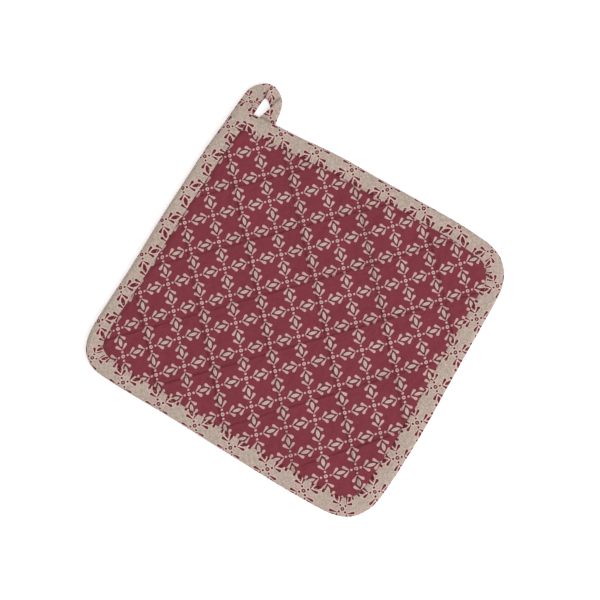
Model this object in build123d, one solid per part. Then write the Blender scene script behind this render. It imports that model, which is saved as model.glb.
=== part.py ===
from build123d import *
import math
import os

# Square quilted pot holder with a hanging loop, in mm.
# +Z is the face side, the back rests on z = 0, the origin is the middle of the back.
# The loop stands on the top edge (+Y) at the left corner (-X), which the turned tape draws in.

# overall size
pad_side = 200.0
corner_radius = 25.0
corner_drop = 6.5
pad_height = 8.6
core_level = 4.0

# cloth, thread and tape
cloth_thickness = 0.5
thread_diameter = 0.4
tape_thickness = 0.8
tape_width = 11.0

# quilting: two crossing families of straight seams
seam_pitch = 36.0
seam_count = 6
seam_angles = {"a": 45.0, "b": -45.0}
face_seam_level = 5.4
back_seam_level = 2.2
crossing_lift = 0.45
groove_floor = 1.2
groove_shoulder = 4.0
groove_reach = 9.0
shoulder_share = 0.7

# edge, where the layers are pressed together under the binding
edge_face_level = 5.6
edge_back_level = 2.4
edge_slope_gap = 0.5
edge_slope_run = 9.5
binding_slit = 0.3
binding_stitch_margin = 1.5
thread_end_gap = 0.3

# hanging loop
loop_height = 21.0
loop_crown = 9.2
eye_width = 5.5
loop_tape_thickness = 1.6
loop_outer_radius = 11.5
eye_roundness = 0.43
hinge_gap = 0.4
loop_stitch_inset = 1.4
loop_stitch_start = 3.2

# end of the loop, sewn flat behind the top edge
loop_end_bottom = 0.6
loop_end_thickness = 0.9
loop_end_length = 9.0
loop_end_stitch_inset = 2.6
loop_end_stitch_margin = 1.5

half_side = pad_side / 2
tape_outside = half_side + tape_thickness
binding_top = edge_face_level + tape_thickness
binding_bottom = edge_back_level - tape_thickness
loop_left = -half_side
loop_width = 2 * tape_width + eye_width
hinge_y = tape_outside + hinge_gap + loop_tape_thickness / 2
edge_slope_start = tape_width + edge_slope_gap
edge_slope_reach = edge_slope_start + edge_slope_run
top_tilt = math.atan(corner_drop / pad_side)
long_enough = 2 * pad_side
seam_offsets = [(i - (seam_count - 1) / 2) * seam_pitch for i in range(seam_count)]


def top_line(x, inset):
    """Height in the plan of the tilted top edge, moved inwards by the inset."""
    outer = half_side - corner_drop * (half_side - x) / pad_side
    return outer - inset / math.cos(top_tilt)


def outline_corners(inset):
    """Corners of the pad moved inwards, clockwise from the loop's corner."""
    side = half_side - inset
    upper = [(x, top_line(x, inset)) for x in (-side, side)]
    return upper + [(side, -side), (-side, -side)]


def pad_outline(inset, level=0.0):
    """Three rounded corners; the loop's corner stays sharp."""
    pad = make_face(Polyline(*outline_corners(inset), close=True))
    rounded = [v for v in pad.vertices() if not (v.X < 0 and v.Y > 0)]
    return Pos(0, 0, level) * fillet(rounded, corner_radius - inset)


def on_loop_corner(shape):
    """Shifts a shape drawn on an untilted top edge to the drawn-in corner."""
    turn = Rot(0, 0, math.degrees(top_tilt))
    corner = Pos(-half_side, half_side - corner_drop, 0)
    return corner * turn * Pos(half_side, -half_side, 0) * shape


def slab(inset, bottom, top):
    return extrude(pad_outline(inset, bottom), top - bottom)


def ridge_profile(plateau, groove):
    """Cross-section of one family of quilted channels, from the core outwards."""
    shoulder = groove + (plateau - groove) * shoulder_share
    reach = min(groove_reach, 0.45 * seam_pitch)
    half_floor = groove_floor / 2
    steps = [(-reach, plateau), (-groove_shoulder, shoulder), (-half_floor, groove)]
    steps += [(-across, level) for across, level in reversed(steps)]
    points = [(-long_enough / 2, core_level), (-long_enough / 2, plateau)]
    for offset in seam_offsets:
        points += [(offset + across, level) for across, level in steps]
    points += [(long_enough / 2, plateau), (long_enough / 2, core_level)]
    return points


def ridges(angle, plateau, groove):
    """The profile stood across the seams and run along them."""
    section = make_face(Polyline(*ridge_profile(plateau, groove), close=True))
    standing = Rot(90, 0, 0) * section
    run = extrude(standing, amount=long_enough / 2, both=True)
    return Rot(0, 0, angle + 90) * run


def quilted_half(plateau, edge_level, grooves):
    """Half of the quilt, from the core level out to its puffed surface."""
    bottom = min(core_level, edge_level)
    top = max(core_level, edge_level)
    foot = pad_outline(edge_slope_start, edge_level)
    crown = pad_outline(edge_slope_reach, plateau)
    solid = slab(0, bottom, top) + loft([foot, crown], ruled=True)
    for name, angle in seam_angles.items():
        solid = solid & ridges(angle, plateau, grooves[name])
    return solid.clean()


def quilt_layers():
    face_grooves = {"a": face_seam_level, "b": face_seam_level + crossing_lift}
    back_grooves = {"a": back_seam_level, "b": back_seam_level - crossing_lift}
    upper = quilted_half(pad_height, edge_face_level, face_grooves)
    lower = quilted_half(0.0, edge_back_level, back_grooves)
    above = slab(-1, core_level, pad_height + 1)
    below = slab(-1, -1, core_level)
    upper_core = Pos(0, 0, -cloth_thickness) * upper
    lower_core = Pos(0, 0, cloth_thickness) * lower
    return {
        "face_cloth": upper - upper_core,
        "upper_wadding": upper_core & above,
        "lower_wadding": lower_core & below,
        "back_cloth": lower - lower_core,
    }


def edge_binding():
    """Tape folded round the raw edges; its two ends meet at the loop's corner."""
    tape = slab(-tape_thickness, binding_bottom, binding_top)
    tape -= slab(tape_width, binding_bottom, binding_top)
    tape -= slab(0, edge_back_level, edge_face_level)
    slit_x = loop_left + tape_width + binding_slit / 2
    slit = Box(binding_slit, 2 * tape_width, 2 * pad_height)
    slit = Pos(slit_x, tape_outside - tape_width / 2, core_level) * slit
    return tape - on_loop_corner(slit)


def quilting_thread(angle, offset, level):
    run = Rot(0, 90, 0) * Cylinder(thread_diameter / 2, long_enough)
    run = Rot(0, 0, angle) * Pos(0, offset, level) * run
    return run & slab(tape_width + thread_end_gap, -1, pad_height)


def quilting_threads():
    radius = thread_diameter / 2
    lift = {"a": 0.0, "b": crossing_lift}
    threads = {}
    for name, angle in seam_angles.items():
        face_level = face_seam_level + lift[name] + radius
        back_level = back_seam_level - lift[name] - radius
        for number, offset in enumerate(seam_offsets, 1):
            seam = f"seam_{name}{number}"
            threads[f"{seam}_face_thread"] = quilting_thread(angle, offset, face_level)
            threads[f"{seam}_back_thread"] = quilting_thread(angle, offset, back_level)
    return threads


def swept_thread(path, start, direction):
    section = Plane(origin=start, z_dir=direction) * Circle(thread_diameter / 2)
    return sweep(section, path=path)


def binding_thread(level):
    """One run of stitches along the tape's inner edge, all round the pad."""
    inset = tape_width - binding_stitch_margin
    begin = loop_left + tape_width + 3 * binding_slit
    corners = outline_corners(inset)[1:]
    stops = [(begin, top_line(begin, inset))] + corners
    stops += [(-half_side + inset, half_side - corner_drop)]
    path = FilletPolyline(*[(x, y, level) for x, y in stops], radius=corner_radius - inset)
    return swept_thread(path, (*stops[0], level), (math.cos(top_tilt), math.sin(top_tilt), 0))


def arch(left, right, foot, top, radius):
    """Upright rectangle with its two upper corners rounded."""
    face = Rectangle(right - left, top - foot, align=(Align.MIN, Align.MIN))
    upper = face.vertices().group_by(Axis.Y)[-1]
    return Pos(left, foot, core_level) * fillet(upper, radius)


def hanging_loop():
    """Doubled tape, flat in the pad's plane; its feet are rounded on the hinge."""
    half = loop_tape_thickness / 2
    top = tape_outside + loop_height
    right = loop_left + loop_width
    outer = arch(loop_left, right, hinge_y, top, loop_outer_radius)
    plate = extrude(outer, amount=half, both=True)
    foot = Rot(0, 90, 0) * Cylinder(half, loop_width)
    plate += Pos(loop_left + loop_width / 2, hinge_y, core_level) * foot
    eye_left = loop_left + tape_width
    eye_top = top - loop_crown
    radius = eye_roundness * eye_width
    eye = arch(eye_left, eye_left + eye_width, half_side, eye_top, radius)
    return on_loop_corner(plate - extrude(eye, amount=pad_height, both=True))


def loop_thread(level):
    """One run of stitches along the tape's outer edge, over the loop."""
    left = loop_left + loop_stitch_inset
    right = loop_left + loop_width - loop_stitch_inset
    top = tape_outside + loop_height - loop_stitch_inset
    foot = hinge_y + loop_stitch_start
    radius = loop_outer_radius - loop_stitch_inset
    path = Wire([
        Line((left, foot, level), (left, top - radius, level)),
        RadiusArc((left, top - radius, level), (left + radius, top, level), radius),
        Line((left + radius, top, level), (right - radius, top, level)),
        RadiusArc((right - radius, top, level), (right, top - radius, level), radius),
        Line((right, top - radius, level), (right, foot, level)),
    ])
    return on_loop_corner(swept_thread(path, (left, foot, level), (0, 1, 0)))


def loop_end():
    left = loop_left + tape_width + eye_width
    tab = Box(tape_width, loop_end_length, loop_end_thickness,
              align=(Align.MIN, Align.MAX, Align.MIN))
    return on_loop_corner(Pos(left, tape_outside, loop_end_bottom) * tab)


def loop_end_thread(level):
    left = loop_left + tape_width + eye_width
    length = tape_width - 2 * loop_end_stitch_margin
    line = tape_outside - loop_end_length + loop_end_stitch_inset
    run = Rot(0, 90, 0) * Cylinder(thread_diameter / 2, length)
    return on_loop_corner(Pos(left + tape_width / 2, line, level) * run)


def sub_parts():
    radius = thread_diameter / 2
    loop_face = core_level + loop_tape_thickness / 2 + radius
    loop_back = core_level - loop_tape_thickness / 2 - radius
    nodes = quilt_layers()
    nodes |= quilting_threads()
    nodes["edge_binding"] = edge_binding()
    nodes["binding_face_thread"] = binding_thread(binding_top + radius)
    nodes["binding_back_thread"] = binding_thread(binding_bottom - radius)
    nodes["hanging_loop"] = hanging_loop()
    nodes["loop_face_thread"] = loop_thread(loop_face)
    nodes["loop_back_thread"] = loop_thread(loop_back)
    nodes["loop_end"] = loop_end()
    nodes["loop_end_face_thread"] = loop_end_thread(binding_top + radius)
    nodes["loop_end_back_thread"] = loop_end_thread(loop_end_bottom - radius)
    return nodes


os.makedirs("parts", exist_ok=True)
for node, shape in sub_parts().items():
    export_step(shape, f"parts/{node}.step")
    print(f"{node}: {len(shape.solids())} solid, {shape.volume:.1f} mm3")
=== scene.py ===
import math
import bpy
import numpy as np
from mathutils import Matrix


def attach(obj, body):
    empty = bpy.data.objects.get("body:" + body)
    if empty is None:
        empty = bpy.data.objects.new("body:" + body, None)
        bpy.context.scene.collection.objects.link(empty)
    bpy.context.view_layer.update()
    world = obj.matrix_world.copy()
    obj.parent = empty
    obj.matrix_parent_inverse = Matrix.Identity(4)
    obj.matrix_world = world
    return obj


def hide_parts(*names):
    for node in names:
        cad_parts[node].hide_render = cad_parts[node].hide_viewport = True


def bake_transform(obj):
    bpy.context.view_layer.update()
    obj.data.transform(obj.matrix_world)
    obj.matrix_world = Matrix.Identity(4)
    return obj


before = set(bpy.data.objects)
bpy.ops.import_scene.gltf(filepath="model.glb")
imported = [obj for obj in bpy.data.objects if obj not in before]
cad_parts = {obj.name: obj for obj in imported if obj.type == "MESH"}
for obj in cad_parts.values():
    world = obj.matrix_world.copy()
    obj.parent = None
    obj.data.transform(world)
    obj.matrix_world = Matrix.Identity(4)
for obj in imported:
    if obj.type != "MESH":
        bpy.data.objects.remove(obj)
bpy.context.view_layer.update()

# Quilted cotton pot holder: printed face, linen-ground binding that runs on into the hanging loop.
# Lengths in the dictionaries are millimetres in the CAD frame; meshes are made in metres.
mm = 0.001


def toLinear(hexColour):
    # sRGB hex to linear: divide by 12.92 below the knee, else raise to 2.4
    parts = np.array([int(hexColour[i:i + 2], 16) for i in (1, 3, 5)]) / 255
    linear = np.where(parts <= 0.04045, parts / 12.92, ((parts + 0.055) / 1.055) ** 2.4)
    return (*linear.tolist(), 1.0)


def setInputs(tree, node, inputs):
    # inputs are values or links, by order or by name
    pairs = inputs.items() if isinstance(inputs, dict) else enumerate(inputs)
    for key, value in pairs:
        if isinstance(value, bpy.types.NodeSocket):
            tree.links.new(value, node.inputs[key])
        else:
            node.inputs[key].default_value = value


def add(tree, kind, inputs=(), **settings):
    # adds one node, its operation after a colon, and gives its first live output
    kind, _, operation = kind.partition(":")
    node = tree.nodes.new("ShaderNode" + kind)
    if operation:
        node.operation = operation
    for name, value in settings.items():
        setattr(node, name, value)
    setInputs(tree, node, inputs)
    return next((out for out in node.outputs if out.enabled), None)


def smoothNoise(u, v, seed):
    # value noise: a random height at every whole number, eased from one to the next
    table = np.random.default_rng(seed).uniform(-1, 1, (64, 64))
    i, j = np.floor(u).astype(int), np.floor(v).astype(int)
    f, g = u - i, v - j
    f, g = f * f * (3 - 2 * f), g * g * (3 - 2 * g)
    i, j, iNext, jNext = i % 64, j % 64, (i + 1) % 64, (j + 1) % 64
    low = table[i, j] * (1 - f) + table[iNext, j] * f
    high = table[i, jNext] * (1 - f) + table[iNext, jNext] * f
    return low * (1 - g) + high * g


def ease(x, start, end):
    # 0 before start, 1 after end, smooth between
    t = np.clip((x - start) / (end - start), 0, 1)
    return t * t * (3 - 2 * t)


def smoothRows(values, width):
    # running Gaussian mean down the rows; the ends are mirrored through themselves so they stay put
    reach = int(3 * width)
    weights = np.exp(-0.5 * (np.arange(-reach, reach + 1) / width) ** 2)
    weights /= weights.sum()
    before = 2 * values[:1] - values[reach:0:-1]
    after = 2 * values[-1:] - values[-2:-reach - 2:-1]
    padded = np.concatenate([before, values, after])
    columns = [np.convolve(column, weights, "valid") for column in padded.T]
    return np.array(columns).T


def runOf(points):
    # distance travelled from the first point to each one: the steps added up
    return np.concatenate([[0], np.cumsum(np.linalg.norm(np.diff(points, axis=0), axis=1))])


def alongLine(points, places, stops):
    # the line's points at the stops, straight between the known ones, which lie at the places
    return np.stack([np.interp(stops, places, axis) for axis in np.array(points).T], 1)


def evenly(points, spacing, run=None):
    # the same line with its points a set distance apart, counted along the run where one is given
    run = runOf(points) if run is None else run
    return alongLine(points, run, np.linspace(0, run[-1], int(run[-1] / spacing) + 1))


def makePiece(name, points, faces, closed=True):
    # a mesh object at the origin; a closed one is turned the right way out by the sign of its volume
    faces = [np.asarray(group) for group in faces if len(group)]
    if closed:
        volume = 0.0
        for group in faces:
            for k in range(1, group.shape[1] - 1):
                a, b, c = points[group[:, 0]], points[group[:, k]], points[group[:, k + 1]]
                volume += np.einsum("ij,ij->", a, np.cross(b, c))
        if volume < 0:
            faces = [group[:, ::-1] for group in faces]
    mesh = bpy.data.meshes.new(name)
    mesh.from_pydata((points * mm).tolist(), [], [f for group in faces for f in group.tolist()])
    mesh.update()
    mesh.polygons.foreach_set("use_smooth", np.ones(len(mesh.polygons), bool))
    piece = bpy.data.objects.new(name, mesh)
    bpy.context.scene.collection.objects.link(piece)
    return piece


def cornersOf(mesh):
    # the vertex behind each face corner
    index = np.zeros(len(mesh.loops), np.int32)
    mesh.loops.foreach_get("vertex_index", index)
    return index


def setUv(mesh, name, values):
    # one UV pair per face corner, in a new layer or over the old one
    layer = mesh.uv_layers.get(name) or mesh.uv_layers.new(name=name)
    layer.data.foreach_set("uv", np.ascontiguousarray(values, np.float32).ravel())


def pointsOf(mesh):
    # the mesh's vertices as rows of x, y, z in metres
    flat = np.zeros(len(mesh.vertices) * 3, np.float32)
    mesh.vertices.foreach_get("co", flat)
    return flat.reshape(-1, 3).astype(float)


def bakedMesh(piece):
    # the modifiers' result, as the piece's own plain mesh
    graph = bpy.context.evaluated_depsgraph_get()
    mesh = bpy.data.meshes.new_from_object(piece.evaluated_get(graph))
    piece.modifiers.clear()
    piece.data = mesh
    return mesh


stage = {
    "middle": (-2.12, 9.05), "turn": 30.5, "field": 372.5, "aimLevel": 6.0, "lens": 100.0,
    "floorSize": 6000.0, "worldStrength": 0.36,
    # each soft box: power, azimuth, height, distance and size
    "lights": {"sideBox": (26.0, 0.0, 48.0, 2500.0, 1.2), "topBox": (34.0, 0.0, 90.0, 2500.0, 3.0)},
    "floorGlow": 0.30,
}

cameraData = bpy.data.cameras.new("camera")
cameraData.lens = stage["lens"]
cameraData.sensor_width = 36
camera = bpy.data.objects.new("camera", cameraData)
bpy.context.scene.collection.objects.link(camera)
rise = stage["field"] * stage["lens"] / 36 + stage["aimLevel"]
camera.location = (stage["middle"][0] * mm, stage["middle"][1] * mm, rise * mm)
camera.rotation_euler = (0, 0, math.radians(stage["turn"]))
bpy.context.scene.camera = camera
bpy.context.scene.view_settings.view_transform = "Standard"

half = stage["floorSize"] / 2
floorPoints = np.array([(-half, -half, 0), (half, -half, 0), (half, half, 0), (-half, half, 0)])
floor = makePiece("floor", floorPoints, [[(0, 1, 2, 3)]], closed=False)

for name, (power, azimuth, height, distance, size) in stage["lights"].items():
    lightData = bpy.data.lights.new(name, "AREA")
    lightData.energy = power
    lightData.size = size
    light = bpy.data.objects.new(name, lightData)
    bpy.context.scene.collection.objects.link(light)
    azimuth, height, reach = math.radians(azimuth), math.radians(height), distance * mm
    light.location = (reach * math.cos(height) * math.cos(azimuth),
                      reach * math.cos(height) * math.sin(azimuth), reach * math.sin(height))
    light.rotation_euler = (math.pi / 2 - height, 0, azimuth + math.pi / 2)

world = bpy.data.worlds.new("paleRoom")
world.use_nodes = True
background = {"Color": (1, 1, 1, 1), "Strength": stage["worldStrength"]}
setInputs(world.node_tree, world.node_tree.nodes["Background"], background)
bpy.context.scene.world = world
print("camera and light set")


outline = {
    # corners clockwise from the loop's corner, their radii, and how far each side bows out at its middle
    "corners": [(-97.9, 92.6), (102.4, 100.5), (104.4, -97.2), (-105.2, -93.6)],
    "radii": [0.0, 25.4, 28.2, 19.4],
    "bows": [2.7, 1.2, 0.15, 1.1],
    "spacing": 1.0,
    # measured every 12 mm: how far the worn edge falls inside (plus) or outside that line
    "unevenStep": 12.0,
    "uneven": [
        0.0, 0.0, 0.0, 0.1, 0.3, -0.4, -0.6, -0.4, 0.1, 0.1, -0.1, -0.1, -0.4, -0.6, -0.3, 0.4,
        -0.5, -0.2, -0.4, -0.2, -0.1, 0.1, 0.1, 0.0, -0.1, -0.5, -0.7, -0.6, -0.5, -0.1, 0.6, 0.0,
        -0.8, 0.6, 0.1, -0.4, -0.5, -0.5, -0.4, -0.3, -0.3, -0.1, 0.1, 0.1, -0.1, -0.4, -0.5, 0.0,
        -0.3, 0.1, -0.6, -0.5, -0.1, 0.2, 0.2, 0.0, -0.3, -0.5, -0.4, -0.5, -0.7, -0.6, -0.2, 0.1,
    ],
    # measured: width of the binding's face leg, as distance along the edge and width
    "width": [
        (0, 11.4), (100, 11.2), (130, 10.9), (200, 10.9), (230, 11.8), (372, 12.0), (395, 12.1),
        (420, 11.7), (450, 11.5), (480, 11.2), (550, 11.2), (565, 12.0), (576, 12.0), (592, 10.3),
        (605, 10.1), (650, 10.5), (700, 10.8), (745, 11.2), (760, 11.6),
    ],
}


def padOutline():
    # straight sides bowed by a parabola, joined by arcs tangent to both sides, clockwise
    corners = np.array(outline["corners"])
    ahead = np.roll(corners, -1, axis=0) - corners
    ahead /= np.hypot(*ahead.T)[:, None]
    turns = [math.acos(float(ahead[k - 1] @ ahead[k])) for k in range(4)]
    cuts = [outline["radii"][k] * math.tan(turns[k] / 2) for k in range(4)]
    runs = []
    for k in range(4):
        out = np.array([-ahead[k][1], ahead[k][0]])
        if outline["radii"][k]:
            before = ahead[k - 1]
            inward = np.array([before[1], -before[0]])
            centre = corners[k] - before * cuts[k] + inward * outline["radii"][k]
            first = math.atan2(ahead[k - 1][0], -ahead[k - 1][1])
            angles = first - np.linspace(0, turns[k], 40)
            spokes = np.stack([np.cos(angles), np.sin(angles)], 1)
            runs.append(centre + outline["radii"][k] * spokes)
        start = corners[k] + ahead[k] * cuts[k]
        end = corners[(k + 1) % 4] - ahead[k] * cuts[(k + 1) % 4]
        share = np.linspace(0, 1, 160)[:, None]
        runs.append(start + (end - start) * share + out * outline["bows"][k] * 4 * share * (1 - share))
    line = evenly(smoothRows(evenly(np.concatenate(runs), outline["spacing"] / 2), 3), outline["spacing"])
    along = np.arange(len(line)) * outline["spacing"]
    inwards = np.gradient(line, axis=0) @ np.array([[0, -1], [1, 0]])
    places = np.arange(len(outline["uneven"])) * outline["unevenStep"]
    uneven = np.interp(along, places, outline["uneven"])
    return evenly(smoothRows(line + inwards * smoothRows(uneven[:, None], 4), 2), outline["spacing"])


edgeLine = padOutline()
edgeAhead = smoothRows(np.gradient(edgeLine, axis=0), 2)
edgeAhead /= np.hypot(*edgeAhead.T)[:, None]
edgeInward = np.stack([edgeAhead[:, 1], -edgeAhead[:, 0]], 1)
edgeAlong = np.arange(len(edgeLine)) * outline["spacing"]
tapeWidth = np.interp(edgeAlong, *zip(*outline["width"]))
tapeWidth += 0.2 * smoothNoise(edgeAlong / 9, edgeAlong * 0 + 2, 41)


def depthInside(x, y):
    # distance inwards from the nearest point of the outline, minus outside it; and that nearest point
    flat = np.stack([np.ravel(x), np.ravel(y)], 1)
    nearest = np.concatenate([
        np.argmin(((part[:, None] - edgeLine[None]) ** 2).sum(-1), 1) for part in np.array_split(flat, 40)
    ])
    away = flat - edgeLine[nearest]
    distance = np.hypot(*away.T) * np.sign((away * edgeInward[nearest]).sum(1))
    return distance.reshape(np.shape(x)), nearest


quilt = {
    # measured, for each family of seams: distance of each line from the middle, and its direction in degrees
    "aOffsets": [-89.4, -53.4, -18.1, 17.4, 51.9, 86.2], "aAngles": [49.4, 47.6, 46.7, 46.5, 45.3, 44.6],
    "bOffsets": [-94.6, -58.7, -21.7, 14.2, 51.9, 91.3],
    "bAngles": [-47.2, -48.2, -47.6, -46.6, -48.0, -45.8],
    "seams": 6, "pitch": 35.5, "steps": 20, "reach": (-0.9, 8.0), "drawIn": 0.08,
    "edgeInset": 2.4, "heldInset": 0.7, "waddingReach": -6.5,
    "faceSeam": 5.3, "backSeam": 2.2, "faceEdge": 5.35, "backEdge": 2.55, "restLevel": 0.06,
    # the crowns set how high the puffs stand; the simulation gives only their shape
    "faceCrown": 3.15, "backCrown": 1.95, "fullness": 0.62, "crownNoise": 0.14,
    "thickness": 0.45, "simScale": 20.0, "frames": 20, "pressure": 4.0, "slack": -0.022,
    "ripple": 0.2, "rippleReach": 4.5,
    # filling of the grooves, set for family a and b apart: its height and its reach
    "grooveFill": (0.7, 0.15), "fillReach": (1.6, 1.2),
}


def lineAt(number, offsets, angles):
    # offset and direction of a seam, or of a line between two; past the last seam it moves on at the pitch
    numbers = np.arange(1, len(offsets) + 1)
    beyond = np.minimum(number - 1, 0) + np.maximum(number - len(offsets), 0)
    offset = np.interp(number, numbers, offsets) + quilt["pitch"] * beyond
    angle = np.radians(np.interp(number, numbers, angles))
    return offset, angle


def crossing(a, b):
    # where line a of one family meets line b of the other
    offsetA, angleA = lineAt(a, quilt["aOffsets"], quilt["aAngles"])
    offsetB, angleB = lineAt(b, quilt["bOffsets"], quilt["bAngles"])
    ax, ay, bx, by = -np.sin(angleA), np.cos(angleA), -np.sin(angleB), np.cos(angleB)
    turn = ax * by - ay * bx
    return (offsetA * by - offsetB * ay) / turn, (ax * offsetB - bx * offsetA) / turn


def drawnIn(number):
    # brings grid lines closer to the seams, where the cloth turns most
    return number - quilt["drawIn"] * np.sin(2 * math.pi * number)


def quiltGrid():
    # grid with a seam at every whole multiple of the steps, cut to the outline, its rim drawn smooth
    steps = quilt["steps"]
    numbers = np.arange(int(quilt["reach"][0] * steps), int(quilt["reach"][1] * steps) + 1)
    a, b = np.meshgrid(numbers, numbers, indexing="ij")
    x, y = crossing(drawnIn(a / steps), drawnIn(b / steps))
    depth, _ = depthInside(x, y)
    inside = depth > quilt["edgeInset"] + 0.15
    index = np.arange(a.size).reshape(a.shape)
    quads = np.stack([index[:-1, :-1], index[1:, :-1], index[1:, 1:], index[:-1, 1:]], -1).reshape(-1, 4)
    used, quads = np.unique(quads[inside.ravel()[quads].all(1)], return_inverse=True)
    quads = quads.reshape(-1, 4)
    a, b, x, y = (grid.ravel()[used] for grid in (a, b, x, y))
    edges = np.sort(np.concatenate([quads[:, [k, (k + 1) % 4]] for k in range(4)]), 1)
    pairs, counts = np.unique(edges, axis=0, return_counts=True)
    rim = np.unique(pairs[counts == 1])
    _, nearest = depthInside(x[rim], y[rim])
    x[rim], y[rim] = (edgeLine[nearest] + edgeInward[nearest] * quilt["edgeInset"]).T
    return a, b, x, y, quads


gridA, gridB, gridX, gridY, gridQuads = quiltGrid()
gridDepth, gridNearest = depthInside(gridX, gridY)
gridDepth = gridDepth - tapeWidth[gridNearest]  # from here on, distance in from the binding's hem
cellA, cellB = gridA / quilt["steps"], gridB / quilt["steps"]
onSeam = np.any([
    (cell == np.round(cell)) & (cell >= 1) & (cell <= quilt["seams"]) for cell in (cellA, cellB)], axis=0)
heldEdge = gridDepth < quilt["heldInset"]
print("quilt grid", len(gridX), "points")


clothSettings = {
    "quality": 5, "mass": 0.3, "tension_stiffness": 15, "compression_stiffness": 15, "shear_stiffness": 7.5,
    "bending_stiffness": 0.35, "tension_damping": 5, "compression_damping": 5, "shear_damping": 5,
    "air_damping": 1, "vertex_group_mass": "held", "shrink_min": quilt["slack"], "use_pressure": True,
    "uniform_pressure_force": quilt["pressure"],
}


def simulatedRise(seed):
    # cloth held along the seams and edge, slightly longer than its frame, blown up by the wadding's push;
    # gives where each point ends in the plan, and its rise as a share of the highest
    scale = quilt["simScale"] * mm
    noise = np.random.default_rng(seed).uniform(0.1, 0.4, len(gridX))
    start = np.stack([gridX, gridY, np.where(onSeam | heldEdge, 0.0, noise)], 1)
    piece = makePiece("clothInSimulation", start * scale / mm, [gridQuads], closed=False)
    held = piece.vertex_groups.new(name="held")
    held.add(np.nonzero(onSeam | heldEdge)[0].tolist(), 1.0, "REPLACE")
    cloth = piece.modifiers.new("cloth", "CLOTH")
    for name, value in clothSettings.items():
        setattr(cloth.settings, name, value)
    cloth.settings.effector_weights.gravity = 0
    cloth.collision_settings.use_collision = False
    cloth.collision_settings.use_self_collision = False
    cloth.point_cache.frame_end = quilt["frames"]
    for number in range(1, quilt["frames"] + 1):
        bpy.context.scene.frame_set(number)
    mesh = bakedMesh(piece)
    ended = pointsOf(mesh) / scale
    bpy.data.objects.remove(piece)
    bpy.context.scene.frame_set(1)
    height = np.abs(ended[:, 2])
    full = np.percentile(height, 99)
    print("cloth simulated: the middle of a square rises", round(float(full), 2), "mm")
    return ended[:, :2], height / full


def puckers(seed):
    # small folds that start at the stitches and fade with distance: another row of noise for each seam side
    pitch = quilt["pitch"]
    total = np.zeros(len(gridX))
    for across, along, which in ((cellA, cellB, 0), (cellB, cellA, 1)):
        number = np.round(across)
        away = (drawnIn(across) - number) * pitch
        side = number * 7 + np.sign(away) * 3 + which * 31
        lean = along * pitch / 4.2 + 0.35 * np.abs(away)
        wave = smoothNoise(lean, side + np.abs(away) / 9, seed)
        wave = wave + 0.5 * smoothNoise(lean * 2.1, side, seed + 1)
        near = np.exp(-(np.abs(away) / quilt["rippleReach"]) ** 1.5) * np.clip(np.abs(away) / 1.6, 0, 1)
        total += wave * near
    return total * np.where(heldEdge | onSeam, 0, 1)


def clothLevels(seed, seamLevel, edgeLevel, crown, upwards):
    # seam or edge level, plus the simulated shape times its crown, the folds and the filled grooves;
    # upwards is 1 or -1
    plan, puff = simulatedRise(seed)
    uneven = 1 + quilt["crownNoise"] * smoothNoise(cellA * 1.3 + 7, cellB * 1.3 + 3, seed + 5)
    folds = quilt["ripple"] * puckers(seed + 9) * np.sqrt(np.clip(crown / 3, 0, 1))
    rise = puff ** quilt["fullness"] * crown * uneven + folds
    for cell, fill, reach in zip((cellA, cellB), quilt["grooveFill"], quilt["fillReach"]):
        toSeam = (drawnIn(cell) - np.round(cell)) * quilt["pitch"]
        rise = rise + fill * np.exp(-(toSeam / reach) ** 2) * ease(gridDepth, 0.0, 6.0)
    base = seamLevel + (edgeLevel - seamLevel) * (1 - ease(gridDepth, 0.0, 9.0))
    return plan, base + upwards * np.maximum(rise, 0 if upwards > 0 else -0.3)


facePlan, faceLevel = clothLevels(11, quilt["faceSeam"], quilt["faceEdge"], quilt["faceCrown"], 1)
backPlan, backLevel = clothLevels(23, quilt["backSeam"], quilt["backEdge"], quilt["backCrown"], -1)
over = backLevel - quilt["restLevel"]
backLevel = quilt["restLevel"] + np.log1p(np.exp(over * 6)) / 6  # flattens softly where it rests


def printOnFace(x, y):
    # the print is skewed and stretched on the quilt: lattice numbers as a measured cubic in the plan position
    x, y = x / 100, y / 100
    i = (0.054 + 3.694 * y + 0.138 * y ** 2 + 0.008 * y ** 3 + 4.067 * x - 0.008 * x * y
         + 0.122 * x * y ** 2 - 0.065 * x ** 2 + 0.058 * x ** 2 * y - 0.066 * x ** 3)
    j = (2.211 - 4.15 * y - 0.066 * y ** 2 + 0.082 * y ** 3 + 3.994 * x + 0.08 * x * y
         + 0.172 * x * y ** 2 - 0.063 * x ** 2 + 0.125 * x ** 2 * y + 0.097 * x ** 3)
    return np.stack([i, j], -1)


def printOnBack(x, y):
    # the backing is cut square with the pad, so its sprigs run along the diagonals too
    return np.stack([(x + y) / 25.0 + 0.31, (x - y) / 25.0 + 0.12], -1)


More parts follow.
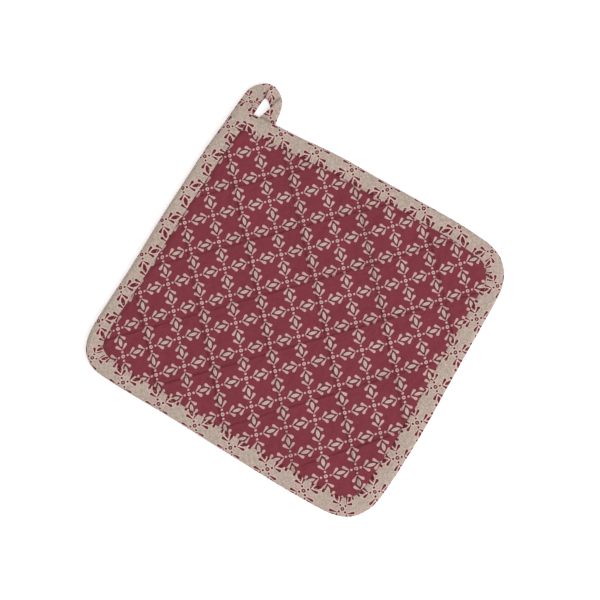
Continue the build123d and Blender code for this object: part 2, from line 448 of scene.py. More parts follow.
def makeCloth(name, plan, level, upwards, printMap):
    # the grid, subdivided once, then given the cloth's thickness towards the wadding
    points = np.column_stack([plan, level])
    quads = gridQuads if upwards > 0 else gridQuads[:, ::-1]
    a, b, c = (points[quads[:, k]] for k in (0, 1, 2))
    if (np.cross(b - a, c - a)[:, 2].mean() > 0) != (upwards > 0):
        quads = quads[:, ::-1]
    piece = makePiece(name, points, [quads], closed=False)
    smooth = piece.modifiers.new("smooth", "SUBSURF")
    smooth.levels = smooth.render_levels = 1
    mesh = bakedMesh(piece)
    outerFaces = len(mesh.polygons)
    wall = piece.modifiers.new("wall", "SOLIDIFY")
    wall.thickness = quilt["thickness"] * mm
    wall.offset = -1
    mesh = bakedMesh(piece)
    mesh.polygons.foreach_set("use_smooth", np.ones(len(mesh.polygons), bool))
    where = pointsOf(mesh)[cornersOf(mesh)] / mm
    outside = np.arange(len(mesh.loops)) < outerFaces * 4
    flat = (where[:, :2] + 112) / 224
    setUv(mesh, "OFBake", np.where(outside[:, None], flat * 0.86, 0.87 + flat * 0.12))
    setUv(mesh, "print", printMap(where[:, 0], where[:, 1]))
    return piece


def makeWadding(name, plan, outerLevel, innerLevel):
    # block of wadding between a cloth and the middle of the quilt, following the cloth's puffs
    keep = gridDepth[gridQuads].min(1) > quilt["waddingReach"]
    used, quads = np.unique(gridQuads[keep], return_inverse=True)
    quads = quads.reshape(-1, 4)
    count = len(used)
    plan = plan[used]
    top = np.column_stack([plan, outerLevel[used]])
    bottom = np.column_stack([plan, np.full(count, innerLevel)])
    edges = np.concatenate([quads[:, [k, (k + 1) % 4]] for k in range(4)])
    _, first, counts = np.unique(np.sort(edges, 1), axis=0, return_index=True, return_counts=True)
    rim = edges[first[counts == 1]]
    walls = np.column_stack([rim[:, 1], rim[:, 0], rim[:, 0] + count, rim[:, 1] + count])
    return makePiece(name, np.concatenate([top, bottom]), [quads, quads[:, ::-1] + count, walls])


faceCloth = makeCloth("faceCloth", facePlan, faceLevel, 1, printOnFace)
backCloth = makeCloth("backCloth", backPlan, backLevel, -1, printOnBack)
upperWadding = makeWadding("upperWadding", facePlan, 4.2 + (faceLevel - 5.2) * 0.72, 4.03)
lowerWadding = makeWadding("lowerWadding", backPlan, 3.8 + (backLevel - 3.0) * 0.72, 3.97)
print("cloths and wadding made")


tape = {
    "thickness": 0.85,
    "legPoints": 10, "rollPoints": 9, "rollDepth": 3.1, "flatRoll": 1.25,
    "frontLevel": 6.95, "backLevel": 1.05, "hemDrop": 0.55,
    "overFront": 7.75, "overBack": 0.12, "endGap": 2.0,
    "loopFront": 4.95, "loopBack": 3.05, "droop": 2.8,
    # loop band: matching points of its outer and inner edge, from the pad up over the top
    "bandOuter": [
        (-97.55, 94.6), (-97.35, 97.5), (-96.75, 103.6), (-95.7, 107.2), (-93.9, 110.0), (-90.9, 112.9),
        (-87.9, 114.9), (-84.9, 115.8), (-81.9, 115.5), (-79.2, 114.2), (-76.8, 112.7), (-75.2, 110.9),
        (-74.6, 109.4),
    ],
    "bandInner": [
        (-86.0, 94.6), (-85.8, 97.5), (-85.5, 101.4), (-85.4, 103.2), (-85.35, 104.6), (-85.25, 105.6),
        (-84.8, 106.3), (-83.7, 106.7), (-82.6, 106.5), (-81.2, 105.5), (-79.8, 104.2), (-78.4, 102.6),
        (-77.6, 101.4),
    ],
    "bandRows": 121,
    # right leg: folded edge and outer edge, from the top of the loop down behind the binding
    "legFold": [
        (-75.9, 111.4), (-76.6, 109.0), (-77.3, 106.2), (-78.1, 103.4), (-79.2, 100.4), (-80.3, 97.4),
        (-81.2, 94.9), (-82.2, 92.0), (-83.3, 88.4), (-84.0, 86.0),
    ],
    "legOuter": [
        (-75.2, 111.3), (-74.0, 109.6), (-73.0, 107.4), (-72.2, 104.8), (-71.7, 101.8), (-71.3, 98.2),
        (-70.7, 94.9), (-70.2, 92.0), (-69.8, 88.4), (-69.6, 86.0),
    ],
    "legLevel": [2.9, 3.6, 3.9, 3.8, 3.3, 2.35, 1.1, 0.99, 0.98, 0.98],
    "legThick": (1.8, 1.815), "legWaves": 0.3, "legOverlap": 4.0, "legRows": 71, "legCut": 95.4,
    # measured: where each sprig ring sits along the outer edge, and how far in from it
    "ringStops": [
        33.3, 58.1, 82.8, 107.8, 133.3, 158.5, 184.3, 210.1, 235.0, 259.5, 284.1, 309.2, 334.4, 360.2,
        389.8, 418.4, 444.6, 471.1, 497.1, 523.2, 549.0, 576.1, 602.6, 627.4, 651.8, 676.5, 700.4, 724.4,
        747.9, 768.8, 790.0,
    ],
    "ringInsets": [
        3.9, 4.2, 4.1, 3.9, 3.0, 1.8, 2.4, 3.2, 5.3, 6.6, 7.0, 6.2, 5.3, 5.2, 5.1, 5.0, 5.0, 4.1, 4.0, 3.7,
        3.9, 3.4, 1.4, 1.8, 1.8, 1.5, 1.6, 2.4, 3.8, 6.3, 2.2,
    ],
    "ringPitch": 25.0,
}


def tapeRows():
    # plan of the tape: its outer edge, its inner edge, and the two face levels, row by row
    outer, inner = edgeLine, edgeLine + edgeInward * tapeWidth[:, None]
    stops = np.arange(len(tape["bandOuter"]))
    fine = np.linspace(0, stops[-1], tape["bandRows"])
    band = [alongLine(tape[key], stops, fine) for key in ("bandOuter", "bandInner")]
    outer = np.concatenate([outer, band[0]])
    inner = np.concatenate([inner, band[1]])
    join = slice(len(edgeLine) - 14, None)
    outer[join], inner[join] = smoothRows(outer[join], 3.5), smoothRows(inner[join], 3.5)
    along = runOf(outer)
    corner = float(along[len(edgeLine) - 1])
    lifted = ease(along, 5, 12) * (1 - ease(along, 32, 42))
    over = ease(along, corner - 26, corner - 13)
    free = ease(along, corner + 0.5, corner + 8)
    front = tape["frontLevel"] + (tape["overFront"] - tape["frontLevel"]) * over
    front = front + (tape["loopFront"] - front) * free
    back = tape["backLevel"] + 0.95 * lifted + (tape["overBack"] - tape["backLevel"]) * over
    back = back + (tape["loopBack"] - back) * free
    droop = tape["droop"] * ease(along, corner + 25, corner + 42)
    return outer, inner, front - droop, back - droop, along, corner


def sectionOf(width, front, back):
    # closed folded section: leg, half-ellipse roll round the edge, leg, then the same inside by the thickness
    thick = tape["thickness"]
    halfHeight = ((front - back) / 2)[:, None]
    roll = np.clip(tape["rollDepth"] * (halfHeight / 2.95), tape["flatRoll"], tape["rollDepth"])
    legShare = np.linspace(1, 0, tape["legPoints"])[None]
    angle = np.linspace(math.pi / 2, -math.pi / 2, tape["rollPoints"] + 2)[None, 1:-1]
    width = width[:, None]

    def wall(inset):
        level = np.maximum(halfHeight - inset, 0.04)
        legs = roll + (width - roll) * legShare
        turn = inset + (roll - inset) * (1 - np.cos(angle))
        across = np.concatenate([legs, turn, legs[:, ::-1]], 1)
        levels = np.concatenate([level + 0 * legs, level * np.sin(angle), -level + 0 * legs], 1)
        return across, levels

    outAcross, outLevel = wall(0.0)
    inAcross, inLevel = wall(thick)
    cap = width + 0.3 * thick
    capLevel = halfHeight - thick / 2
    across = np.concatenate([cap, outAcross, cap, inAcross[:, ::-1]], 1)
    level = np.concatenate([capLevel, outLevel, -capLevel, inLevel[:, ::-1]], 1)
    return across, level


def clothDistance(across, level):
    # length along the cloth, counted down from its width at the front hem, round the edge to the back
    half = across.shape[1] // 2
    steps = np.hypot(np.diff(across[:, 1:half], axis=1), np.diff(level[:, 1:half], axis=1))
    run = across[:, 1:2] - np.concatenate([np.zeros((len(across), 1)), np.cumsum(steps, 1)], 1)
    return np.concatenate([run[:, :1], run, run[:, -1:], run[:, ::-1]], 1)


def layTape(outer, inner, front, back, along, waves, hem):
    # every section point placed between the outer and inner edge, with soft waves and pressed-down hems
    width = np.hypot(*(inner - outer).T)
    across, level = sectionOf(width, front, back)
    share = across / width[:, None]
    plan = outer[:, None] + (inner - outer)[:, None] * share[..., None]
    middle = ((front + back) / 2)[:, None]
    pressed = hem[:, None] * np.clip(share, 0, 1) ** 3 * np.sign(level)
    row, col = np.broadcast_arrays(along[:, None], across)
    wide, small = smoothNoise(row / 13, col / 6 + 5, 51), smoothNoise(row / 4.5, col / 5 + 2, 52)
    wavy = waves[:, None] * (0.16 * wide + 0.10 * small)
    height = middle + level - pressed + wavy * np.clip(share * 2, 0, 1) * (level > 0)
    return np.concatenate([plan, height[..., None]], -1), across, level


crease = {
    "start": (-85.3, 106.0), "end": (-86.1, 112.0), "depth": 3.0, "halfWidth": 0.62,
    "swell": 0.5, "swellAt": -1.9, "swellWidth": 1.5, "hollow": 0.5,
}


def creaseIn(points):
    # sharp fold where the tape turns over the top: a narrow groove from the eye outwards, fading as it goes
    start, end = np.array(crease["start"]), np.array(crease["end"])
    way = end - start
    rel = points[..., :2] - start
    share = (rel @ way) / (way @ way)
    side = (rel[..., 0] * way[1] - rel[..., 1] * way[0]) / math.hypot(*way)
    fade = (1 - ease(share, 0.6, 1.35)) * ease(share, -0.6, -0.1)
    groove = crease["depth"] * np.exp(-(side / crease["halfWidth"]) ** 2)
    swell = crease["swell"] * np.exp(-((side - crease["swellAt"]) / crease["swellWidth"]) ** 2)
    hollow = crease["hollow"] * ease(side, -0.2, 0.8) * (1 - ease(side, 4, 9))
    return fade * (swell - groove) - hollow * ease(points[..., 1], 101, 104)


def tapePrint(along, across, level):
    # lattice numbers on the tape: rings follow one another along it, a diagonal half-step apart across it
    stops = tape["ringStops"]
    beyond = np.minimum(along - stops[0], 0) + np.maximum(along - stops[-1], 0)
    count = np.interp(along, stops, np.arange(len(stops))) + beyond / tape["ringPitch"]
    inset = np.interp(along, stops, tape["ringInsets"])
    off = (clothDistance(across, level) - inset[:, None]) / tape["ringPitch"]
    return np.stack([count[:, None] + off, count[:, None] - off], -1)


def makeTape(name, points, prints):
    # rows of closed sections skinned together, the two ends closed between their outer and inner wall;
    # the bake map lays the tape out in eight strips, one above the other
    rows, cols = points.shape[:2]
    index = np.arange(rows * cols).reshape(rows, cols)
    around = np.roll(index, -1, axis=1)
    skin = np.stack([index[:-1], around[:-1], around[1:], index[1:]], -1).reshape(-1, 4)
    k = np.arange(1, cols // 2 - 1)
    mirror = cols - k
    columns = (k, mirror % cols, (mirror - 1) % cols, k + 1)
    start = np.stack([index[0, column] for column in columns], -1)
    tipA, tipB = (0, 1, cols - 1), (cols // 2, cols // 2 + 1, cols // 2 - 1)
    ends = [start, start[:, ::-1] + index[-1, 0]]
    first, last = index[0], index[-1]
    tips = [first[list(tipA)], first[list(tipB)], last[list(tipA)][::-1], last[list(tipB)][::-1]]
    tips = np.array(tips)
    piece = makePiece(name, points.reshape(-1, 3), [np.concatenate([skin, *ends]), tips])
    mesh = piece.data
    corners = cornersOf(mesh)
    setUv(mesh, "print", prints.reshape(-1, 2)[corners])
    perRow = max(1, math.ceil(rows / 8))
    starts = np.zeros(len(mesh.polygons), np.int32)
    totals = np.zeros(len(mesh.polygons), np.int32)
    mesh.polygons.foreach_get("loop_start", starts)
    mesh.polygons.foreach_get("loop_total", totals)
    rowOf = corners // cols
    low = np.minimum.reduceat(rowOf, starts)
    strip = np.repeat(np.minimum(low, rows - 2) // perRow, totals)
    colOf = corners % cols
    spread = np.maximum.reduceat(colOf, starts) - np.minimum.reduceat(colOf, starts)
    wraps = np.repeat(spread > cols // 2, totals)
    colOf = np.where(wraps & (colOf < cols // 2), colOf + cols, colOf)
    u = (rowOf - strip * perRow) / perRow * 0.97 + 0.01
    v = (strip + colOf / (cols + 1) * 0.94 + 0.02) / 8
    setUv(mesh, "OFBake", np.stack([u, v], -1))
    return piece


tapeOuter, tapeInner, tapeFront, tapeBack, tapeAlong, cornerAlong = tapeRows()
onPad = 1 - ease(tapeAlong, cornerAlong - 2, cornerAlong + 6)
tapePoints, tapeAcross, tapeLevel = layTape(
    tapeOuter, tapeInner, tapeFront, tapeBack, tapeAlong, 0.35 + 0.65 * onPad, tape["hemDrop"] * onPad)
creased = tapePoints[..., 2] + creaseIn(tapePoints) * (tapeAlong > cornerAlong)[:, None]
tapePoints[..., 2] = np.maximum(creased, 0.1)
tapePrints = tapePrint(tapeAlong, tapeAcross, tapeLevel)
startRow = int(np.searchsorted(tapeAlong, tape["endGap"]))
cutRow = int(np.searchsorted(tapeAlong, cornerAlong + 2.6))
edgeBinding = makeTape("edgeBinding", tapePoints[startRow:cutRow + 1], tapePrints[startRow:cutRow + 1])

stops = np.arange(len(tape["legFold"]))
fine = np.linspace(0, stops[-1], tape["legRows"])
legOuter, legFold = (smoothRows(alongLine(tape[key], stops, fine), 4) for key in ("legOuter", "legFold"))
legMiddle = smoothRows(np.interp(fine, stops, tape["legLevel"])[:, None], 3)[:, 0]
legThick = np.interp(fine, stops[[0, -1]], tape["legThick"])
legAlong = tapeAlong[-1] - tape["legOverlap"] + runOf(legOuter)
legPoints, legAcross, legSide = layTape(
    legOuter, legFold, legMiddle + legThick / 2, legMiddle - legThick / 2, legAlong,
    np.full(len(fine), tape["legWaves"]), np.zeros(len(fine)))
legPrints = tapePrint(legAlong, legAcross, legSide)
legCut = int(np.argmin(np.abs(legOuter[:, 1] - tape["legCut"])))
bandPiece = makeTape("band", tapePoints[cutRow:], tapePrints[cutRow:])
legPiece = makeTape("leg", legPoints[:legCut + 1], legPrints[:legCut + 1])
loopEnd = makeTape("loopEnd", legPoints[legCut:], legPrints[legCut:])


def joined(name, first, second):
    # two pieces as one mesh, side by side in the bake map
    for piece, shift in ((first, 0.0), (second, 0.5)):
        layer = piece.data.uv_layers["OFBake"]
        uv = np.zeros(len(piece.data.loops) * 2, np.float32)
        layer.data.foreach_get("uv", uv)
        uv = uv.reshape(-1, 2) * (0.5, 1.0) + (shift, 0.0)
        setUv(piece.data, "OFBake", uv)
    with bpy.context.temp_override(active_object=first, selected_editable_objects=[first, second]):
        bpy.ops.object.join()
    first.name = name
    first.data.name = name
    return first


hangingLoop = joined("hangingLoop", bandPiece, legPiece)
print("tape made,", round(float(cornerAlong)), "mm round the pad")


stitching = {
    # radius of each thread, how far a stitch stands off the cloth, its length and its share that shows
    "quiltRadius": 0.2, "quiltLift": 0.15, "quiltLength": 3.0, "tapeRadius": 0.17, "tapeLift": 0.06,
    "bindingLength": 3.0, "bindingInset": 1.3, "loopLength": 2.6, "loopInset": 1.2, "shown": 0.86,
    # height of the quilting holes over the face cloth and over the back cloth
    "faceOffset": 0.02, "backOffset": -0.2,
    "endFrom": -80.5, "endTo": -70.5, "endLine": 91.2, "endSlope": 0.03, "endHoles": 5,
}


def stitchRow(name, holes, radius, lift):
    # one small pointed capsule from hole to hole: a straight line plus a sine lift, its radius a sine too
    first, last = holes[:-1], holes[1:]
    gap = (1 - stitching["shown"]) / 2
    share = np.linspace(gap, 1 - gap, 6)
    run = last - first
    centre = first[:, None] + run[:, None] * share[None, :, None]
    bulge = np.sin(np.linspace(0, math.pi, 6))
    centre[..., 2] += lift * bulge - radius * 0.7 * (1 - bulge)
    ahead = run / np.linalg.norm(run, axis=1, keepdims=True)
    side = np.cross(ahead, (0, 0, 1.0))
    side /= np.linalg.norm(side, axis=1, keepdims=True)
    up = np.cross(side, ahead)
    turn = np.linspace(0, 2 * math.pi, 6, endpoint=False)
    spoke = side[:, None] * np.cos(turn)[None, :, None] + up[:, None] * np.sin(turn)[None, :, None]
    thick = radius * (0.45 + 0.55 * bulge[1:-1])
    rings = centre[:, 1:-1, None] + spoke[:, None] * thick[None, :, None, None]
    count = len(first)
    each = np.concatenate([rings.reshape(count, -1, 3), centre[:, [0]], centre[:, [-1]]], 1)
    k = np.arange(6)
    nxt = (k + 1) % 6
    quads = np.concatenate([np.stack([k, nxt, 6 + nxt, 6 + k], 1) + r * 6 for r in range(3)])
    tips = np.stack([nxt, k, np.full(6, 24)], 1), np.stack([18 + k, 18 + nxt, np.full(6, 25)], 1)
    base = (np.arange(count) * 26)[:, None, None]
    faces = [(base + quads).reshape(-1, 4), (base + np.concatenate(tips)).reshape(-1, 3)]
    piece = makePiece(name, each.reshape(-1, 3), faces)
    index = cornersOf(piece.data)
    number, ring = index // 26, index % 26
    down = np.where(ring < 24, (ring // 6 + 1) / 5, np.where(ring == 24, 0, 1.0))
    turnShare = np.where(ring < 24, (ring % 6) / 6, 0.5)
    setUv(piece.data, "strand", np.stack([(number + down) * 3.0, turnShare], -1))
    return piece


def seamHoles(family, number, plan, level):
    # the seam's own grid points, outside the binding, taken at stitch length
    line, other = (gridA, gridB) if family == "a" else (gridB, gridA)
    pick = np.nonzero((line == number * quilt["steps"]) & (gridDepth > 0.9))[0]
    pick = pick[np.argsort(other[pick])]
    points = np.column_stack([plan[pick], level[pick]])
    return evenly(points, stitching["quiltLength"], runOf(points[:, :2]))


seamStitches = []
for family in "ab":
    for number in range(1, quilt["seams"] + 1):
        for side, plan, level, way in (("face", facePlan, faceLevel, 1), ("back", backPlan, backLevel, -1)):
            holes = seamHoles(family, number, plan, level)
            holes[:, 2] += stitching[side + "Offset"]
            name = f"seam_{family}{number}_{side}"
            lift = way * stitching["quiltLift"]
            piece = stitchRow(name + "_stitches", holes, stitching["quiltRadius"], lift)
            seamStitches.append((piece, name + "_thread"))


def rowOnTape(rows, inset, front, length):
    # a line along the tape at a set distance from its hem, on its front or back
    count = tape["legPoints"]
    begin = 1 if front else 1 + count + tape["rollPoints"]
    some = tapePoints[slice(*rows), begin:begin + count]
    dist = tapeAcross[slice(*rows), begin:begin + count]
    target = dist.max(1) - inset
    order = np.arange(some.shape[0])
    above = np.argmax(dist <= target[:, None], 1) if front else np.argmax(dist >= target[:, None], 1)
    line = some[order, above]
    return evenly(smoothRows(line, 2), length, runOf(line))


def tapeStitches(name, rows, inset, length, front):
    # a row of stitches on the tape, standing off its front or its back
    lift = stitching["tapeLift"] if front else -stitching["tapeLift"]
    return stitchRow(name, rowOnTape(rows, inset, front, length), stitching["tapeRadius"], lift)


def endStitches(name, level, lift):
    # a straight row across the loop's end, sloping with the top edge
    across = np.linspace(stitching["endFrom"], stitching["endTo"], stitching["endHoles"])
    line = stitching["endLine"] + (across + 80) * stitching["endSlope"]
    holes = np.column_stack([across, line, np.full(len(across), level)])
    return stitchRow(name, holes, stitching["tapeRadius"], lift)


bindingRows, loopRows = (startRow + 14, cutRow - 1), (cutRow + 3, len(tapePoints) - 30)
bindingSize = stitching["bindingInset"], stitching["bindingLength"]
loopSize = stitching["loopInset"], stitching["loopLength"]
bindingFace = tapeStitches("bindingFaceStitches", bindingRows, *bindingSize, True)
bindingBack = tapeStitches("bindingBackStitches", bindingRows, *bindingSize, False)
loopFace = tapeStitches("loopFaceStitches", loopRows, *loopSize, True)
loopBack = tapeStitches("loopBackStitches", loopRows, *loopSize, False)
endFace = endStitches("loopEndFaceStitches", tape["frontLevel"] - 0.02, 0.06)
endBack = endStitches("loopEndBackStitches", 0.22, -0.02)
print("stitches made")


sprig = {
    # the lattice's cell and the shapes in it, in mm
    "cell": 17.7, "leafHalf": 3.05, "leafBelly": 1.3,
    "budTip": (4.6, 0.3, 0.22), "budHead": (2.0, 2.75, 0.92),
    "dotAway": 2.8, "dotRadius": 0.72, "ringOnBurgundy": 1.14, "ringOnLinen": 1.28, "holeRadius": 0.4,
    "stemMiddle": 4.1, "stemReach": 1.15, "stemHalf": 0.22, "veinReach": 1.9, "drift": 0.035,
    # distance from a shape's outline at which its ink, its halo and its inside start and end
    "ink": (0.16, -0.16), "halo": (0.75, 0.1), "inside": (-0.12, -0.4),
}


def sprigMasks(tree, ringRadius):
    # folds the print's lattice into one eighth of a cell, then draws each shape from its distance there:
    # ink where the distance is below nothing, with a soft rim
    lattice = add(tree, "UVMap", uv_map="print")
    drift = add(tree, "TexNoise", {"Vector": lattice, "Scale": 5.0, "Detail": 1.0})
    drift = drift.node.outputs["Color"]
    drift = add(tree, "VectorMath:SUBTRACT", [drift, (0.5, 0.5, 0.5)])
    drift = add(tree, "VectorMath:SCALE", {0: drift, "Scale": sprig["drift"]})
    moved = add(tree, "VectorMath:ADD", [lattice, drift])
    middle = [(0.5, 0.5, 0.5)]
    for step, other in (("ADD", middle), ("FRACTION", []), ("SUBTRACT", middle), ("ABSOLUTE", [])):
        moved = add(tree, "VectorMath:" + step, [moved, *other])
    moved = add(tree, "VectorMath:SCALE", {0: moved, "Scale": sprig["cell"]})
    parts = add(tree, "SeparateXYZ", [moved]).node
    low = add(tree, "Math:MINIMUM", [parts.outputs[0], parts.outputs[1]])
    high = add(tree, "Math:MAXIMUM", [parts.outputs[0], parts.outputs[1]])
    along = add(tree, "Math:SUBTRACT", [sprig["cell"] / 2, high])

    # leaf: where two circles overlap
    radius = (sprig["leafHalf"] ** 2 + sprig["leafBelly"] ** 2) / (2 * sprig["leafBelly"])
    shifted = add(tree, "Math:ADD", [low, radius - sprig["leafBelly"]])
    leaf = add(tree, "CombineXYZ", [along, shifted])
    leaf = add(tree, "VectorMath:LENGTH", [leaf])
    leaf = add(tree, "Math:SUBTRACT", [leaf, radius])

    # bud: a line that swells from its tip to its head
    (tipX, tipY, tipR), (headX, headY, headR) = sprig["budTip"], sprig["budHead"]
    fromTip = add(tree, "CombineXYZ", [along, low])
    fromTip = add(tree, "VectorMath:SUBTRACT", [fromTip, (tipX, tipY, 0)])
    way = (headX - tipX, headY - tipY, 0)
    share = add(tree, "VectorMath:DOT_PRODUCT", [fromTip, way])
    share = add(tree, "Math:MULTIPLY", [share, 1 / (way[0] ** 2 + way[1] ** 2)], use_clamp=True)
    onLine = add(tree, "VectorMath:SCALE", {0: way, "Scale": share})
    bud = add(tree, "VectorMath:DISTANCE", [fromTip, onLine])
    swell = add(tree, "Math:MULTIPLY_ADD", [share, headR - tipR, tipR])
    bud = add(tree, "Math:SUBTRACT", [bud, swell])

    # ring with its hole, four dots round it, and the stems
    fromNode = add(tree, "CombineXYZ", [high, low])
    away = add(tree, "VectorMath:LENGTH", [fromNode])
    ring = add(tree, "Math:SUBTRACT", [away, ringRadius])
    hole = add(tree, "Math:SUBTRACT", [away, sprig["holeRadius"]])
    dot = add(tree, "VectorMath:DISTANCE", [fromNode, (sprig["dotAway"], 0, 0)])
    dot = add(tree, "Math:SUBTRACT", [dot, sprig["dotRadius"]])
    stem = add(tree, "Math:SUBTRACT", [along, sprig["stemMiddle"]])
    stem = add(tree, "Math:ABSOLUTE", [stem])
    stem = add(tree, "Math:SUBTRACT", [stem, sprig["stemReach"]])
    thin = add(tree, "Math:SUBTRACT", [low, sprig["stemHalf"]])
    stem = add(tree, "Math:MAXIMUM", [stem, thin])
    vein = add(tree, "Math:ABSOLUTE", [along])
    vein = add(tree, "Math:SUBTRACT", [vein, sprig["veinReach"]])
    vein = add(tree, "Math:MAXIMUM", [vein, thin])
    nearest = leaf
    for other in (bud, dot, ring):
        nearest = add(tree, "Math:MINIMUM", [nearest, other])
    inked = {"leaf": leaf, "bud": bud, "ring": ring, "hole": hole, "dot": dot, "stem": stem, "vein": vein}
    drawn = [(name, distance, "ink") for name, distance in inked.items()]
    masks = {}
    for name, distance, rim in drawn + [("halo", nearest, "halo"), ("leafInside", leaf, "inside")]:
        start, end = sprig[rim]
        span = {"Value": distance, "From Min": start, "From Max": end}
        masks[name] = add(tree, "MapRange", span, interpolation_type="SMOOTHSTEP")
    return masks


weave = {
    # plain weave of about 0.5 mm threads, drawn at 1.05 mm because finer would not show
    "thread": 1.05, "depth": 0.10, "slubAlong": 2.6, "slubAcross": 0.6,
    "halfRepeat": 12.5, "wander": 1.6, "bump": 0.55,
}


def weaveOf(tree, depth):
    # thread directions run square with the pad: sums and differences of the lattice numbers, in mm
    lattice = add(tree, "UVMap", uv_map="print")
    parts = add(tree, "SeparateXYZ", [lattice]).node
    warp = add(tree, "Math:ADD", [parts.outputs[0], parts.outputs[1]])
    weft = add(tree, "Math:SUBTRACT", [parts.outputs[0], parts.outputs[1]])
    plane = add(tree, "CombineXYZ", [warp, weft])
    plane = add(tree, "VectorMath:SCALE", {0: plane, "Scale": weave["halfRepeat"]})
    wander = add(tree, "TexNoise", {"Vector": plane, "Scale": 0.22, "Detail": 2.0}).node.outputs["Color"]
    wander = add(tree, "VectorMath:SUBTRACT", [wander, (0.5, 0.5, 0.5)])
    wander = add(tree, "VectorMath:SCALE", {0: wander, "Scale": weave["wander"]})
    bent = add(tree, "VectorMath:ADD", [plane, wander])
    bent = add(tree, "VectorMath:SCALE", {0: bent, "Scale": math.pi / weave["thread"]})
    bentParts = add(tree, "SeparateXYZ", [bent]).node
    over = add(tree, "Math:SINE", [bentParts.outputs[0]])
    under = add(tree, "Math:SINE", [bentParts.outputs[1]])
    checks = add(tree, "Math:MULTIPLY", [over, under])
    slubs = []
    for wide, narrow in (("slubAlong", "slubAcross"), ("slubAcross", "slubAlong")):
        stretch = (1 / weave[wide], 1 / weave[narrow], 1)
        stretched = add(tree, "VectorMath:MULTIPLY", [plane, stretch])
        noise = {"Vector": stretched, "Scale": 1.0, "Detail": 3.0, "Roughness": 0.6}
        slubs.append(add(tree, "TexNoise", noise))
    slubs = add(tree, "Math:ADD", slubs)
    slubs = add(tree, "Math:MULTIPLY", [slubs, 0.5])
    relief = add(tree, "Math:MULTIPLY_ADD", [checks, 0.5, slubs])
    bump = add(tree, "Bump", {"Strength": weave["bump"], "Distance": depth * mm, "Height": relief})
    patches = add(tree, "TexNoise", {"Vector": plane, "Scale": 0.035, "Detail": 3.0})
    return bump, slubs, patches


def newMaterial(name):
    # a node material with its one Principled shader
    material = bpy.data.materials.new(name)
    material.use_nodes = True
    tree = material.node_tree
    shader = tree.nodes["Principled BSDF"]
    return material, tree, shader


def paint(tree, under, over, mask):
    # one layer of colour over another
    return add(tree, "Mix", {0: mask, 6: under, 7: over}, data_type="RGBA")


def aroundOne(tree, value, low, high, depth):
    # a factor that runs from 1 less the depth to 1 plus the depth as the value goes from low to high
    span = {"Value": value, "From Min": low, "From Max": high, "To Min": 1 - depth, "To Max": 1 + depth}
    return add(tree, "MapRange", span)


def printedCotton(name, look, ringRadius):
    # ground, halo of thinned ink, then each shape in its own ink; yarns differ a little in tone,
    # and the cloth varies softly over a few centimetres
    material, tree, shader = newMaterial(name)
    masks = sprigMasks(tree, ringRadius)
    bump, slubs, patches = weaveOf(tree, weave["depth"] * look["relief"])
    colour = toLinear(look["ground"])
    if "darkYarn" in look:
        melange = add(tree, "MapRange", {"Value": slubs, "From Min": 0.38, "From Max": 0.62})
        colour = paint(tree, toLinear(look["darkYarn"]), colour, melange)
    halo = add(tree, "Math:MULTIPLY", [masks["halo"], look["haloShare"]])
    colour = paint(tree, colour, toLinear(look["halo"]), halo)
    for shape, ink in look["inks"].items():
        colour = paint(tree, colour, toLinear(ink), masks[shape])
    yarns = aroundOne(tree, slubs, 0.35, 0.65, look["slubDepth"])
    cloud = aroundOne(tree, patches, 0.3, 0.7, look["patchDepth"])
    tone = add(tree, "Math:MULTIPLY", [yarns, cloud])
    final = add(tree, "VectorMath:SCALE", {0: colour, "Scale": tone})
    setInputs(tree, shader, {
        "Base Color": final, "Normal": bump, "Roughness": look["roughness"], "IOR": 1.5,
        "Specular IOR Level": 0.3, "Sheen Weight": 0.08, "Sheen Roughness": 0.5})
    return material


def burgundyCotton():
    # plain-woven cotton, rotary printed in burgundy with sprigs left pale: matt, soft, slightly uneven ink
    look = {
        "ground": "#7C303B", "halo": "#5A1D28", "haloShare": 0.6, "relief": 1.0,
        "inks": {"stem": "#3A191D", "bud": "#C8A19D", "leaf": "#543030", "leafInside": "#C9B0A4",
                 "vein": "#B09A8F", "dot": "#D2A0A0", "ring": "#CDADA4", "hole": "#6A3A3A"},
        "slubDepth": 0.17, "patchDepth": 0.05, "roughness": 0.88,
    }
    return printedCotton("burgundyPrintedCotton", look, sprig["ringOnBurgundy"])


def linenCotton(name):
    # unbleached melange cotton-linen with the same sprigs printed in burgundy: slubby yarns, dry matt hand
    look = {
        "ground": "#C6B5A8", "darkYarn": "#A08F82", "halo": "#DFBDB7", "haloShare": 0.85, "relief": 1.3,
        "inks": {"stem": "#DDB9B0", "bud": "#641C27", "leaf": "#631C27", "dot": "#43141B",
                 "ring": "#5F1A25", "hole": "#CDAEA6"},
        "slubDepth": 0.07, "patchDepth": 0.04, "roughness": 0.9,
    }
    return printedCotton(name, look, sprig["ringOnLinen"])


def spunThread(name, colourHex, shadeHex):
    # two-ply spun polyester sewing thread: a slight gloss broken by its twist, 1.6 turns per mm; its colour
    # falls to a painted shade in the groove between the plies
    material, tree, shader = newMaterial(name)
    strand = add(tree, "UVMap", uv_map="strand")
    parts = add(tree, "SeparateXYZ", [strand]).node
    turns = add(tree, "Math:MULTIPLY_ADD", [parts.outputs[0], 1.6, parts.outputs[1]])
    turns = add(tree, "Math:MULTIPLY", [turns, 2 * math.pi])
    ply = add(tree, "Math:SINE", [turns])
    plyRange = {"Value": ply, "From Min": -1.0, "From Max": 1.0}
    # painted shade: the shade colour lies where the twist runs low, in the groove between the plies
    colour = paint(tree, toLinear(shadeHex), toLinear(colourHex), add(tree, "MapRange", plyRange))
    bump = add(tree, "Bump", {"Strength": 0.5, "Distance": 0.05 * mm, "Height": ply})
    setInputs(tree, shader, {"Base Color": colour, "Normal": bump, "Roughness": 0.55, "IOR": 1.53})
    return material


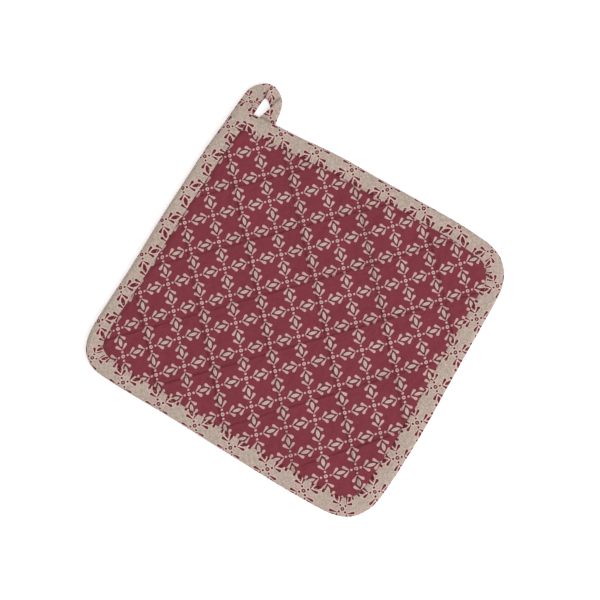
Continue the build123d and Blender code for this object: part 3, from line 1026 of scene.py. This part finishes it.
def feltedWadding():
    # needled cotton and polyester wadding: off-white, fibrous and fully matt
    material, tree, shader = newMaterial("needledWadding")
    where = add(tree, "TexCoord").node.outputs["Object"]
    fibres = add(tree, "TexNoise", {"Vector": where, "Scale": 900.0, "Detail": 4.0, "Distortion": 1.5})
    colour = paint(tree, toLinear("#E4DED2"), toLinear("#F6F3EC"), fibres)
    bump = add(tree, "Bump", {"Strength": 0.6, "Distance": 0.3 * mm, "Height": fibres})
    setInputs(tree, shader, {"Base Color": colour, "Normal": bump, "Roughness": 0.95})
    return material


def paperFloor():
    # seamless white background paper: matt, with a barely visible tooth
    material, tree, shader = newMaterial("whitePaper")
    where = add(tree, "TexCoord").node.outputs["Object"]
    tooth = add(tree, "TexNoise", {"Vector": where, "Scale": 400.0, "Detail": 2.0})
    colour = paint(tree, toLinear("#FBFBFB"), toLinear("#FFFFFF"), tooth)
    setInputs(tree, shader, {
        "Base Color": colour, "Roughness": 0.95, "Specular IOR Level": 0.1,
        "Emission Color": (1, 1, 1, 1), "Emission Strength": stage["floorGlow"]})
    return material


faceFinish = burgundyCotton()
tapeFinish = linenCotton("linenGroundTape")
backFinish = linenCotton("linenGroundBacking")
burgundyThread = spunThread("burgundyThread", "#80333F", "#602430")
linenThread = spunThread("linenThread", "#C9BBA6", "#9C8D78")
waddingFinish = feltedWadding()
floor.data.materials.append(paperFloor())
print("materials made")


def settle(piece, material, nodes, bends=False):
    # gives a piece its material and hides the CAD nodes it stands for; a rigid piece rides on the pad's body,
    # one that bends keeps its place with its transform baked in
    piece.data.materials.append(material)
    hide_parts(*nodes)
    if bends:
        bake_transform(piece)
    else:
        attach(piece, "pad")


settle(faceCloth, faceFinish, ["face_cloth"])
settle(backCloth, backFinish, ["back_cloth"])
settle(upperWadding, waddingFinish, ["upper_wadding"])
settle(lowerWadding, waddingFinish, ["lower_wadding"])
settle(edgeBinding, tapeFinish, ["edge_binding"])
settle(loopEnd, tapeFinish, ["loop_end"])
settle(hangingLoop, tapeFinish, ["hanging_loop"], bends=True)
for piece, node in seamStitches:
    settle(piece, burgundyThread, [node])
for piece, node in ((bindingFace, "binding_face_thread"), (bindingBack, "binding_back_thread"),
                    (endFace, "loop_end_face_thread"), (endBack, "loop_end_back_thread")):
    settle(piece, linenThread, [node])
for piece, node in ((loopFace, "loop_face_thread"), (loopBack, "loop_back_thread")):
    settle(piece, linenThread, [node], bends=True)
